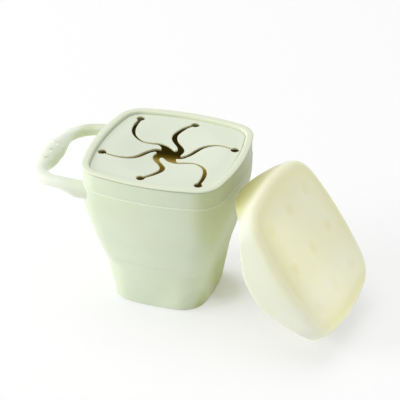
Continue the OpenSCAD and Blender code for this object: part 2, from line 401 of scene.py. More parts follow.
@dataclass
class NodeKit:
    """The nodes of a material or of the world, and the steps that patterns are made of."""

    tree: bpy.types.NodeTree

    @cached_property
    def place(self) -> Socket:
        """Place in the solid, on Object coordinates."""
        return self.add("TexCoord").outputs["Object"]

    def add(self, kind: str) -> bpy.types.Node:
        """A new node of a kind."""
        return self.tree.nodes.new(f"ShaderNode{kind}")

    def feed(self, socket: Socket, value: Socket | float | Triple | Four) -> None:
        """Gives a socket its value.

        Args:
            socket: The socket.
            value: A number or colour, or another node's output.
        """
        if isinstance(value, bpy.types.NodeSocket):
            self.tree.links.new(value, socket)
        else:
            socket.default_value = value

    def calc(self, wanted: Sum, *values: Socket | float, clamp: bool = False) -> Socket:
        """Calculates with one or two values.

        Args:
            wanted: What is worked out.
            values: The values.
            clamp: Whether the result stays from 0 to 1.

        Returns:
            The result.
        """
        node = self.add("Math")
        node.operation, node.use_clamp = wanted.value, clamp
        for socket, value in zip(node.inputs, values):
            self.feed(socket, value)
        return node.outputs["Value"]

    def measure(self, wanted: Measure, other: Triple) -> Socket:
        """Measures where the place lies.

        Args:
            wanted: What is measured.
            other: The axis or the point.

        Returns:
            The measure in metres.
        """
        node = self.add("VectorMath")
        node.operation = wanted.value
        self.feed(node.inputs[0], self.place)
        self.feed(node.inputs[1], other)
        return node.outputs["Value"]

    def noise(self, scale: float, detail: float) -> Socket:
        """A noise pattern in the solid, from 0 to 1.

        Args:
            scale: Waves per metre.
            detail: Finer layers on top.

        Returns:
            The pattern's value.
        """
        node = self.add("TexNoise")
        self.feed(node.inputs["Vector"], self.place)
        self.feed(node.inputs["Scale"], scale)
        self.feed(node.inputs["Detail"], detail)
        return node.outputs["Fac"]

    def span(self, value: Socket, start: Pair, end: Pair = (0.0, 1.0), way: Way = Way.LINEAR) -> Socket:
        """Maps one range of a value onto another.

        Args:
            value: The value to map.
            start: Range of the value.
            end: Range of the result.
            way: How it goes from one end to the other.

        Returns:
            The result.
        """
        node = self.add("MapRange")
        node.interpolation_type = way.value
        self.feed(node.inputs["Value"], value)
        for name, number in zip(("From Min", "From Max", "To Min", "To Max"), (*start, *end)):
            self.feed(node.inputs[name], number)
        return node.outputs["Result"]

    def ramp(self, axis: Triple, stops: Sequence[tuple[float, Triple]], way: Way) -> Socket:
        """Colours along an axis.

        Args:
            axis: The axis.
            stops: Distances along it in metres and their colours.
            way: How it goes from each stop to the next.

        Returns:
            The colour.
        """
        low, high = stops[0][0], stops[-1][0]
        node = self.add("ValToRGB")
        node.color_ramp.interpolation = way.value
        marks = node.color_ramp.elements
        while len(marks) < len(stops):
            marks.new(0.5)
        for mark, (distance, colour) in zip(marks, stops):
            mark.position = (distance - low) / (high - low)
            mark.color = (*colour, 1.0)
        self.feed(node.inputs["Fac"], self.span(self.measure(Measure.ALONG, axis), (low, high)))
        return node.outputs["Color"]

    def mix(self, share: Socket, first: Socket | Four, second: Four) -> Socket:
        """Mixes two colours.

        Args:
            share: Share of the second colour.
            first: The first colour.
            second: The second colour.

        Returns:
            The mixed colour.
        """
        node = self.add("Mix")
        node.data_type = "RGBA"
        for name, value in (("Factor", share), ("A", first), ("B", second)):
            self.feed(node.inputs[name], value)
        return node.outputs["Result"]

    def mix_shaders(self, share: Socket, first: Socket, second: Socket, out: Socket) -> None:
        """Mixes two shaders.

        Args:
            share: Share of the second shader.
            first: The first shader.
            second: The second shader.
            out: Where the mixed shader goes.
        """
        node = self.add("MixShader")
        for socket, value in zip(node.inputs, (share, first, second)):
            self.feed(socket, value)
        self.feed(out, node.outputs["Shader"])

    def seen_rays(self) -> Socket:
        """1 for the rays that the camera sees, straight or in a reflection, otherwise 0.

        Returns:
            The value.
        """
        rays = self.add("LightPath").outputs
        either = self.calc(Sum.MAXIMUM, rays["Is Camera Ray"], rays["Is Glossy Ray"])
        return self.calc(Sum.MAXIMUM, either, rays["Is Transmission Ray"])


class Grain(Enum):
    """Which moulded surface a silicone has, as the scale and the strength of its pores."""

    MATT = (2600.0, 0.14)
    SATIN = (2200.0, 0.08)
    MILKY = (1500.0, 0.1)


@dataclass(frozen=True)
class PaintedLightAndShade:
    """Painted light or shade that a silicone's colour takes on along an axis."""

    axis: Triple
    colour: Triple
    stops: tuple[Pair, ...]


@dataclass(frozen=True)
class Silicone:
    """A soft moulded silicone: its colour, the mottling in it, how light goes into it, and its painted light
    and shade.

    The ranges are the part of a noise pattern that makes clouds, pads or handled spots.
    """

    name: str
    colour: Triple
    deep: Triple
    roughness: float
    grain: Grain = Grain.MATT
    cloud_scale: float = 26.0
    cloud_detail: float = 3.0
    cloud_range: Pair = (0.38, 0.72)
    cloud_share: float = 0.55
    specular: float = 0.34
    sheen: float = 0.22
    sheen_roughness: float = 0.5
    scatter: float = 0.0
    scatter_depth: float = 0.004
    scatter_radius: Triple = (1.0, 0.85, 0.35)
    # Painted glow: emission along an axis that stands in for light coming through the silicone.
    painted_glow: tuple[tuple[float, Triple], ...] = ()
    glow_axis: Triple = UP
    # Painted light and shade along axes.
    light_and_shade: tuple[PaintedLightAndShade, ...] = ()
    pads: tuple[tuple[Triple, float], ...] = ()
    pad_range: Pair = (1.35, 1.95)
    pad_share: float = 0.85
    spot_scale: float = 70.0
    spot_detail: float = 4.0
    spot_range: Pair = (0.3, 0.75)
    spot_depth: float = 0.07
    pore_detail: float = 2.0
    pore_depth: float = 0.12 * MM

    def make(self) -> bpy.types.Material:
        """Builds the material.

        Returns:
            The finished material, with its patterns on Object coordinates.
        """
        material = bpy.data.materials.new(self.name)
        material.use_nodes = True
        kit = NodeKit(material.node_tree)
        sockets = material.node_tree.nodes["Principled BSDF"].inputs
        for name, value in (
                ("Specular IOR Level", self.specular), ("Sheen Weight", self.sheen),
                ("Sheen Roughness", self.sheen_roughness), ("Subsurface Weight", self.scatter),
                ("Subsurface Scale", self.scatter_depth), ("Subsurface Radius", self.scatter_radius),
                ("Base Color", self._tone(kit)), ("Roughness", self._handled(kit)),
                ("Normal", self._pores(kit))):
            kit.feed(sockets[name], value)
        # The painted glow: light through the silicone, given as emission.
        if self.painted_glow:
            kit.feed(sockets["Emission Color"], kit.ramp(self.glow_axis, self.painted_glow, Way.LINEAR))
            kit.feed(sockets["Emission Strength"], 1.0)
        return material

    def _tone(self, kit: NodeKit) -> Socket:
        """The colour with cloudy patches of the deeper tone, the pads, and the painted light and shade.

        Args:
            kit: The material's nodes.

        Returns:
            The colour.
        """
        clouds = kit.noise(self.cloud_scale, self.cloud_detail)
        share = kit.span(clouds, self.cloud_range, (0.0, self.cloud_share))
        if self.pads:
            waves = [kit.calc(Sum.COSINE, kit.calc(Sum.SUBTRACT, kit.measure(Measure.ALONG, axis), phase))
                     for axis, phase in self.pads]
            pads = kit.span(kit.calc(Sum.ADD, *waves), self.pad_range, (0.0, self.pad_share))
            share = kit.calc(Sum.ADD, share, pads, clamp=True)
        colour = kit.mix(share, (*self.colour, 1.0), (*self.deep, 1.0))
        # Painted light and shade, mixed in one after another.
        for painted in self.light_and_shade:
            stops = [(distance, (part, part, part)) for distance, part in painted.stops]
            colour = kit.mix(kit.ramp(painted.axis, stops, Way.EASE), colour, (*painted.colour, 1.0))
        return colour

    def _handled(self, kit: NodeKit) -> Socket:
        """Roughness with handled spots that are a little smoother."""
        ends = (self.roughness - self.spot_depth, self.roughness + self.spot_depth)
        return kit.span(kit.noise(self.spot_scale, self.spot_detail), self.spot_range, ends)

    def _pores(self, kit: NodeKit) -> Socket:
        """The fine grain that the mould leaves, as a bump.

        Args:
            kit: The material's nodes.

        Returns:
            The bumped normal.
        """
        scale, strength = self.grain.value
        bump = kit.add("Bump")
        kit.feed(bump.inputs["Strength"], strength)
        kit.feed(bump.inputs["Distance"], self.pore_depth)
        kit.feed(bump.inputs["Height"], kit.noise(scale, self.pore_detail))
        return bump.outputs["Normal"]


@dataclass(frozen=True)
class Finishes:
    """Every finish of the snack cup."""

    cup: Silicone = Silicone(
        "cup_silicone", (0.675, 0.74, 0.575), (0.63, 0.70, 0.49), 0.62, scatter=0.35, scatter_depth=0.003,
        # Painted shade: a darker yellow on the right side, more so low down, where the cover shades the
        # wall.
        light_and_shade=(PaintedLightAndShade((1.0, 0.0, -0.35), (0.50, 0.55, 0.18), ((0.0215, 0.0), (0.0255, 0.8), (0.030, 0.85))),
               # Painted light: a paler patch low at the front right.
               PaintedLightAndShade((1.0, -1.0, -0.8), (0.80, 0.87, 0.68),
                    ((0.022, 0.0), (0.038, 0.6), (0.041, 0.4), (0.048, 0.0))),
               # Painted shade: a darker yellow at the front right corner.
               PaintedLightAndShade((1.0, -0.5, 0.0), (0.55, 0.60, 0.20), ((0.046, 0.0), (0.055, 0.45), (0.062, 0.5))),
               # Painted highlight: a pale line along the ledge.
               PaintedLightAndShade(UP, (0.88, 0.92, 0.80), ((0.0787, 0.0), (0.0790, 0.5), (0.0793, 0.5), (0.0794, 0.0))),
               # Painted shadow: a dark line at the top of the band, under the lid's bead.
               PaintedLightAndShade(UP, (0.42, 0.47, 0.30), ((0.0893, 0.0), (0.0896, 0.6), (0.0899, 0.9)))))
    # Inside of the cup: painted shade, a dark olive, with a painted golden glow along the height, brightest
    # near 58 mm, for light that comes into the cup.
    inside: Silicone = Silicone("cup_inside_painted_shade_and_glow", (0.20, 0.18, 0.06), (0.15, 0.13, 0.04), 0.6, painted_glow=(
        (0.0, (0.01, 0.007, 0.001)), (0.044, (0.01, 0.007, 0.001)), (0.051, (0.05, 0.032, 0.003)),
        (0.0562, (0.18, 0.13, 0.018)), (0.0582, (0.34, 0.25, 0.06)), (0.0605, (0.09, 0.06, 0.004)),
        (0.063, (0.008, 0.005, 0.0)), (0.09, (0.0, 0.0, 0.0))))
    # Handle: painted light; its colour is the cup's silicone painted lighter for the light that falls on it
    # from the left.
    handle: Silicone = Silicone(
        "handle_silicone", (0.82, 0.86, 0.75), (0.77, 0.825, 0.67), 0.6, scatter=0.3, scatter_depth=0.0025,
        # Painted shade: olive on the grip's inner, lower side.
        light_and_shade=(PaintedLightAndShade((1.0, 0.0, -0.5), (0.58, 0.63, 0.36),
                    ((-0.107, 0.0), (-0.1025, 0.55), (-0.100, 0.55), (-0.094, 0.0))),
               # Towards the near arm the colour goes back to the handle's plain tone, without the painted
               # shade.
               PaintedLightAndShade((0.0, -1.0, 0.0), (0.82, 0.86, 0.75), ((0.016, 0.0), (0.025, 1.0), (0.040, 1.0))),
               # Near the wall the arms take the cup's own colour, without the handle's painted light.
               PaintedLightAndShade((1.0, 0.0, 0.0), (0.695, 0.74, 0.60), ((-0.058, 0.0), (-0.043, 1.0), (-0.040, 1.0))),
               # Painted shade: olive on the far arm, most on its lower side.
               PaintedLightAndShade((0.0, 0.5, -1.0), (0.55, 0.60, 0.32), ((-0.068, 0.0), (-0.061, 0.5), (-0.056, 0.75)))))
    lid: Silicone = Silicone("lid_silicone", (0.735, 0.785, 0.645), (0.70, 0.76, 0.61), 0.5, Grain.SATIN)
    bead: Silicone = Silicone("lid_bead_silicone", (0.75, 0.79, 0.615), (0.72, 0.765, 0.57), 0.5,
                              Grain.SATIN)
    # Slits' walls and the sheets' undersides: painted shade, a darker yellow than the lid, with an even
    # painted glow for light coming through the thin silicone.
    slit: Silicone = Silicone("slit_edge_painted_shade_and_glow", (0.70, 0.70, 0.47), (0.66, 0.65, 0.41), 0.55,
                              Grain.SATIN, painted_glow=((0.0, (0.06, 0.055, 0.02)), (0.09, (0.06, 0.055, 0.02))))
    cover: Silicone = Silicone("cover_silicone", (0.80, 0.805, 0.60), (0.74, 0.73, 0.47), 0.5, Grain.MILKY,
                               cloud_scale=34.0, cloud_share=0.4, scatter=0.7, scatter_depth=0.009)


@dataclass
class Workshop:
    """Dresses the finished pieces and reports them."""

    finishes: Finishes = field(default_factory=Finishes)
    made: dict[str, bpy.types.Material] = field(default_factory=dict)

    def finish(self, silicone: Silicone) -> bpy.types.Material:
        """The material of a silicone, built the first time that it is asked for.

        Args:
            silicone: The finish.

        Returns:
            The material.
        """
        if silicone.name not in self.made:
            self.made[silicone.name] = silicone.make()
        return self.made[silicone.name]

    def dress(self, piece: Piece, slot: str, *silicones: Silicone) -> None:
        """Gives the piece its materials.

        Args:
            piece: The piece.
            slot: Not used.
            silicones: The finishes, in the order of the faces' material numbers.
        """
        piece.data.materials.clear()
        for silicone in silicones:
            piece.data.materials.append(self.finish(silicone))

    def report(self, piece: Piece, rides: str) -> None:
        """Logs the piece, its faces and what it rides on."""
        LOG.info("%s: %d faces, on %s", piece.name, len(piece.data.polygons), rides)


# ---- Cup ----


@dataclass
class FoldingCup:
    """The cup: stiff upper wall with its rim band, soft fold ring, and lower cup with the floor.

    Each line gives height, half width and corner radius of the outside, in millimetres.
    """

    workshop: Workshop
    lower_line: tuple[Triple, ...] = (
        (1.7, 28.9, 15.0), (5.0, 29.5, 15.8), (8.0, 30.1, 16.4), (12.0, 30.8, 17.0), (16.0, 31.55, 17.9),
        (20.0, 32.3, 18.8), (22.5, 32.72, 19.3), (24.4, 33.05, 19.8), (25.6, 33.3, 19.7),
        (27.0, 33.6, 18.6), (29.0, 34.05, 16.9), (30.4, 34.4, 16.1), (31.1, 34.56, 16.0), (31.5, 34.6, 16.0))
    fold_line: tuple[Triple, ...] = (
        (31.5, 34.6, 16.0), (31.9, 34.86, 16.0), (32.8, 35.22, 16.0), (34.5, 35.8, 16.0),
        (37.0, 36.62, 16.0), (40.0, 37.5, 16.0), (43.0, 38.32, 16.0), (46.0, 39.15, 16.0))
    upper_line: tuple[Triple, ...] = (
        (46.0, 39.15, 16.0), (50.0, 40.15, 16.1), (54.0, 41.1, 16.2), (58.0, 42.08, 16.3),
        (62.0, 43.05, 16.4), (66.0, 43.9, 16.5), (70.0, 44.38, 16.5), (74.0, 44.54, 16.5),
        (77.6, 44.58, 16.5), (78.4, 44.54, 16.5))
    upper_inside: tuple[float, ...] = (74.0, 68.0, 60.0, 52.0, 46.0)
    fold_inside: tuple[float, ...] = (46.0, 42.0, 38.0, 34.0, 31.5)
    lower_inside: tuple[float, ...] = (31.5, 24.0, 18.0, 11.0)
    upper_crease_z: float = 46.0
    lower_crease_z: float = 31.5
    line_steps: int = 2
    rim: RoundSquare = RoundSquare(44.62, 16.5)
    base: RoundSquare = RoundSquare(28.9, 15.0)
    ledge_z: float = 79.2
    ledge_line: tuple[Pair, ...] = ((0.0, -0.6), (0.06, -0.4), (0.09, -0.22), (0.05, -0.06), (-0.12, 0.02))
    ledge_step: float = 0.3
    ledge_fillet: Pair = (0.02, 0.1)
    band_low: float = 80.0
    band_rise: float = 8.4
    band_shares: Triple = (0.1, 0.5, 0.9)
    band_top: float = 89.86
    band_lean: float = 0.12
    band_wall: float = 1.75
    mouth_low: float = 81.0
    wall: float = 2.2
    fold_wall: float = 1.4
    floor: float = 3.0
    floor_round: float = 1.6
    foot_round: float = 1.7
    foot_turn: Pair = (-90.0, -8.0)
    foot_steps: int = 5
    foot_hollow_z: float = 0.25
    foot_insets: Pair = (6.0, 0.6)
    lip: float = 0.25
    lip_steps: int = 3
    soft_angle: float = 38.0
    dark_top: float = 87.0
    floor_reach: float = 6.0
    crease_reach: float = 0.5
    inward_share: float = 0.2
    upward_share: float = 0.6
    upright_share: float = 0.97

    @staticmethod
    def along(line: Sequence[Triple], z: float) -> RoundSquare:
        """Outline at height z on a line of the outside.

        Args:
            line: Heights, half widths and corner radii.
            z: Height in millimetres.

        Returns:
            The outline there.
        """
        pairs = list(zip(line, line[1:]))
        low, high = next((pair for pair in pairs if z <= pair[1][0]), pairs[-1])
        share = (z - low[0]) / (high[0] - low[0])
        return RoundSquare(low[1] + (high[1] - low[1]) * share, low[2] + (high[2] - low[2]) * share)

    def upper_at(self, z: float) -> RoundSquare:
        """Outside of the upper wall at height z."""
        return self.along(self.upper_line, z)

    def outside(self, line: Sequence[Triple]) -> list[Ring]:
        """Rings up the outside of a wall, smooth through its line."""
        curve = curve_through(line, self.line_steps)
        return [RoundSquare(half, corner).ring(z) for z, half, corner in curve]

    def inside(self, line: Sequence[Triple], wall: float, heights: Sequence[float]) -> list[Ring]:
        """Rings down the inside of a wall that is so thick, at the heights."""
        return [self.along(line, z).grown(-wall).ring(z) for z in heights]

    def arc(self, centre: RoundSquare, z: float, radius: float, turn: Pair, steps: int) -> list[Ring]:
        """Rings round an edge.

        Args:
            centre: Outline through the arc's centre.
            z: Height of the centre.
            radius: Radius of the arc.
            turn: Angles of the first and last ring in degrees, 0 outwards and 90 up.
            steps: Steps between them.

        Returns:
            The rings.
        """
        rings = []
        for i in range(steps + 1):
            t = math.radians(turn[0] + (turn[1] - turn[0]) * i / steps)
            rings.append(centre.grown(radius * math.cos(t)).ring(z + radius * math.sin(t)))
        return rings

    def build_upper(self) -> None:
        """Models the upper wall and the rim band above its ledge."""
        band_low = self.rim.grown(-self.ledge_step)
        band_high = band_low.grown(-self.band_lean)
        mouth = band_high.grown(-self.band_wall)
        lip_z = self.band_top - self.lip
        rings = self.outside(self.upper_line)
        rings += [self.rim.grown(out).ring(self.ledge_z + up) for out, up in self.ledge_line]
        rings += [band_low.grown(-self.ledge_fillet[0]).ring(self.ledge_z + self.ledge_fillet[1])]
        rings += [band_low.grown(-self.band_lean * share).ring(self.band_low + self.band_rise * share)
                  for share in self.band_shares]
        rings += self.arc(band_high.grown(-self.lip), lip_z, self.lip, (0, 90), self.lip_steps)
        rings += self.arc(mouth.grown(self.lip), lip_z, self.lip, (90, 180), self.lip_steps)
        rings += [mouth.ring(self.mouth_low)]
        rings += self.inside(self.upper_line, self.wall, self.upper_inside)
        self._settle(loft("cup_upper_wall", rings, Ends.JOINED), "upper_cup", Body.CUP)

    def build_fold(self) -> None:
        """Models the soft wall between the creases, which bends as the cup folds flat."""
        rings = self.outside(self.fold_line) + self.inside(self.fold_line, self.fold_wall, self.fold_inside)
        piece = loft("cup_fold_ring", rings, Ends.JOINED)
        self._dress(piece, "fold_silicone")
        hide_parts("fold_ring")
        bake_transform(piece)
        self.workshop.report(piece, "cup and base")

    def build_lower(self) -> None:
        """Models the stiff lower wall, the rounded foot and the floor."""
        foot = self.base.grown(-self.foot_round)
        rings = [foot.grown(-step).ring(self.foot_hollow_z) for step in self.foot_insets]
        rings += self.arc(foot, self.foot_round, self.foot_round, self.foot_turn, self.foot_steps)
        rings += self.outside(self.lower_line)[1:]
        rings += self.inside(self.lower_line, self.wall, self.lower_inside)
        rings += self.arc(self.base.grown(-self.wall - self.floor_round), self.floor + self.floor_round,
                          -self.floor_round, (180, 90), self.foot_steps)
        self._settle(loft("cup_lower_wall", rings, Ends.FLAT), "lower_cup", Body.BASE)

    def _dress(self, piece: Piece, slot: str) -> None:
        """Shades a piece and gives its faces that look into the cup the inside finish of painted shade and
        glow.

        Args:
            piece: The piece.
            slot: Name of its material slot.
        """
        smooth(piece, self.soft_angle)
        finishes = self.workshop.finishes
        self.workshop.dress(piece, slot, finishes.cup, finishes.inside)
        low = (self.lower_crease_z - self.crease_reach) * MM
        high = (self.upper_crease_z + self.crease_reach) * MM

        def inward(face: bpy.types.MeshPolygon) -> bool:
            """Says whether a face looks inwards, ends a wall at a crease, or is the floor's upper side.

            Args:
                face: The face.

            Returns:
                Whether it is one of these.
            """
            centre, normal = face.center, face.normal
            looks_in = centre.xy.dot(normal.xy) < -self.inward_share * centre.xy.length
            wall_end = abs(normal.z) > self.upright_share and low < centre.z < high
            on_floor = normal.z > self.upward_share and centre.z < self.floor_reach * MM
            return (looks_in and centre.z < self.dark_top * MM) or wall_end or on_floor

        # These faces take the inside's painted shade and glow.
        paint_faces(piece, 1, inward)

    def _settle(self, piece: Piece, node: str, body: Body) -> None:
        """Dresses a stiff piece and sets it on its body.

        Args:
            piece: The piece.
            node: The CAD node that it stands for.
            body: The body.
        """
        self._dress(piece, "cup_silicone")
        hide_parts(node)
        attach(piece, body.value)
        self.workshop.report(piece, body.value)

    def build(self) -> None:
        """Builds the three parts of the cup."""
        self.build_upper()
        self.build_fold()
        self.build_lower()


# ---- Handle ----


@dataclass
class LoopHandle:
    """The loop handle: two arms that swell into the wall, and a thick grip with low ribs."""

    workshop: Workshop
    cup: FoldingCup
    start_x: float = -40.0
    grip_x: float = -70.4
    rise: float = 1.6
    under_ledge: float = 0.1
    arm_y: float = 33.2
    arm_w: float = 8.0
    arm_h: float = 6.2
    root_flare: float = 2.0
    root_drop: float = 3.0
    root_len: float = 13.0
    wide_corner: float = 22.0
    tight_corner: float = 11.5
    grip_w: float = 13.3
    grip_h: float = 11.4
    grip_len: float = 7.5
    far_taper: float = 17.4
    near_taper: float = 14.8
    grip_y: float = -6.6
    grip_bow: float = 0.8
    grip_in: float = 0.4
    grip_share_x: float = 0.9
    squareness: float = 2.5
    bite: float = 1.1
    clear_step: float = 0.35
    sides: int = 32
    rib_len: float = 2.3
    rib_w: float = 1.5
    rib_h: float = 0.62
    rib_sink: float = 0.6
    rib_line: tuple[Pair, ...] = ((0.0, 1.0), (0.6, 0.86), (0.95, 0.6), (1.0, 0.25))
    rib_sides: int = 20
    rib_seat: float = 0.985
    rib_skew: float = 12.0
    ribs: tuple[Pair, ...] = ((-1.4, 84.0), (-9.6, 90.0), (-2.6, 50.0), (-11.4, 54.0), (-17.0, 90.0))
    soft_angle: float = 50.0
    line_steps: tuple[int, ...] = (8, 18, 26, 14, 16)

    def bowed_x(self, share: float) -> float:
        """Place of the grip's middle line at a share of its length."""
        return self.grip_x - self.grip_bow * 4 * share * (1 - share)

    def corner_x(self, corner: float, t: float) -> float:
        """Place along X on the arc of a corner, at an angle in radians."""
        return self.grip_x + corner * (1 - math.sin(t))

    def centre_line(self) -> list[Pair]:
        """Plan points of the loop's middle line, from the +Y root round to the -Y root.

        Returns:
            Points in millimetres.
        """
        start, wide, tight = self.start_x, self.wide_corner, self.tight_corner
        far_n, wide_n, grip_n, tight_n, near_n = self.line_steps
        wide_x, tight_x = self.grip_x + wide, self.grip_x + tight
        wide_y, tight_y = self.arm_y - wide, tight - self.arm_y
        points = [(start + (wide_x - start) * i / far_n, self.arm_y) for i in range(far_n)]
        for t in (math.pi / 2 * i / wide_n for i in range(wide_n)):
            points.append((self.corner_x(wide, t), self.arm_y - wide * (1 - math.cos(t))))
        for share in (i / grip_n for i in range(grip_n + 1)):
            points.append((self.bowed_x(share), wide_y + (tight_y - wide_y) * share))
        for t in (math.pi / 2 * i / tight_n for i in reversed(range(tight_n))):
            points.append((self.corner_x(tight, t), -self.arm_y + tight * (1 - math.cos(t))))
        return points + [(tight_x + (start - tight_x) * i / near_n, -self.arm_y)
                         for i in range(1, near_n + 1)]

    def grip_share(self, x: float, y: float) -> float:
        """Share of the grip's thickness at a point of the middle line.

        Args:
            x: The point's place along X.
            y: Its place along Y.

        Returns:
            0 on the arms, 1 on the grip.
        """
        if x > self.grip_x + self.wide_corner * self.grip_share_x:
            return 0.0
        taper = self.far_taper if y > self.grip_y else self.near_taper
        return ease((self.grip_len / 2 + taper - abs(y - self.grip_y)) / taper)

    def half_sizes(self, grip: float, root: float = 0.0) -> Pair:
        """Half of the loop's width and height, from its shares of grip and of root."""
        return ((self.arm_w + self.root_flare * root + (self.grip_w - self.arm_w) * grip) / 2,
                (self.arm_h + self.root_drop * root + (self.grip_h - self.arm_h) * grip) / 2)

    def section(self, points: Sequence[Pair], i: int) -> Ring:
        """Ring of the loop at point i of its middle line.

        Args:
            points: The middle line.
            i: Number of the point.

        Returns:
            The ring, in metres; at the roots it lies just under the cup's wall.
        """
        x, y = points[i]
        along = direction(points, i)
        grip = self.grip_share(x, y)
        half = self.cup.rim.half
        root = min(max((x + half + self.root_len) / self.root_len, 0.0), 1.0) ** 2
        a, b = self.half_sizes(grip, root)
        lift = self.rise * min(max((x + half) / (self.grip_x + half), 0.0), 1.0)
        middle = self.cup.ledge_z - self.under_ledge - (self.arm_h + self.root_drop * root) / 2 + lift
        power = 2 / (2.0 + (self.squareness - 2.0) * (1 - grip))
        from_root = min(i, len(points) - 1 - i)
        ring = []
        for k in range(self.sides):
            t = 2 * math.pi * k / self.sides
            u = math.copysign(abs(math.cos(t)) ** power, math.cos(t)) * a
            v = math.copysign(abs(math.sin(t)) ** power, math.sin(t)) * b
            px, py, pz = x + self.grip_in * grip - along.y * u, y + along.x * u, middle + v
            wall = -self.wall_reach(py, pz)
            px = min(px, wall + self.clear_step * (from_root - 1)) if from_root else wall
            ring.append(Vector((px, py, pz)) * MM)
        return ring

    def wall_reach(self, y: float, z: float) -> float:
        """Distance along -X to just under the cup's outside.

        Args:
            y: Place across.
            z: Height.

        Returns:
            The distance in millimetres.
        """
        cup = self.cup
        outline = cup.upper_at(z) if z < cup.ledge_z else cup.rim.grown(-cup.ledge_step)
        return outline.grown(-self.bite).reach(y)

    def rib(self, y: float, turn: float) -> Piece:
        """Models one low rib for the fingers, on the grip.

        Args:
            y: Place along the grip, in millimetres.
            turn: Angle round the grip in degrees, 0 towards the cup and 90 up.

        Returns:
            The rib.
        """
        length = 2 * self.arm_y - self.tight_corner - self.wide_corner
        x = self.bowed_x((y - (self.tight_corner - self.arm_y)) / length)
        thick = self.grip_share(x, y)
        a, b = self.half_sizes(thick)
        middle = self.cup.ledge_z - self.under_ledge - self.arm_h / 2 + self.rise
        t = math.radians(turn)
        out = Vector((math.cos(t) * a + self.grip_in * thick, 0, math.sin(t) * b))
        around = [turned(2 * math.pi * k / self.rib_sides) for k in range(self.rib_sides)]
        levels = [(-self.rib_sink, 1.0)] + [(self.rib_h * high, wide) for high, wide in self.rib_line]
        piece = loft("rib", [[Vector((p.x * self.rib_len * wide, p.y * self.rib_w * wide, high)) * MM
                              for p in around] for high, wide in levels], Ends.FLAT)
        lean = math.atan2(math.cos(t) / a, math.sin(t) / b)
        seat = Matrix.Translation((Vector((x, y, middle)) + out * self.rib_seat) * MM)
        piece.data.transform(seat @ Matrix.Rotation(lean, 4, "Y")
                             @ Matrix.Rotation(math.radians(self.rib_skew), 4, "Z"))
        return piece

    def build(self) -> None:
        """Builds the loop and its ribs as one piece."""
        line = self.centre_line()
        piece = loft("loop_handle", [self.section(line, i) for i in range(len(line))], Ends.FLAT)
        for rib in [self.rib(y, turn) for y, turn in self.ribs]:
            combine(piece, rib, Cut.UNION)
        smooth(piece, self.soft_angle)
        self.workshop.dress(piece, "handle_silicone", self.workshop.finishes.handle)
        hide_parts("handle")
        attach(piece, Body.CUP.value)
        self.workshop.report(piece, Body.CUP.value)


# ---- Lid ----


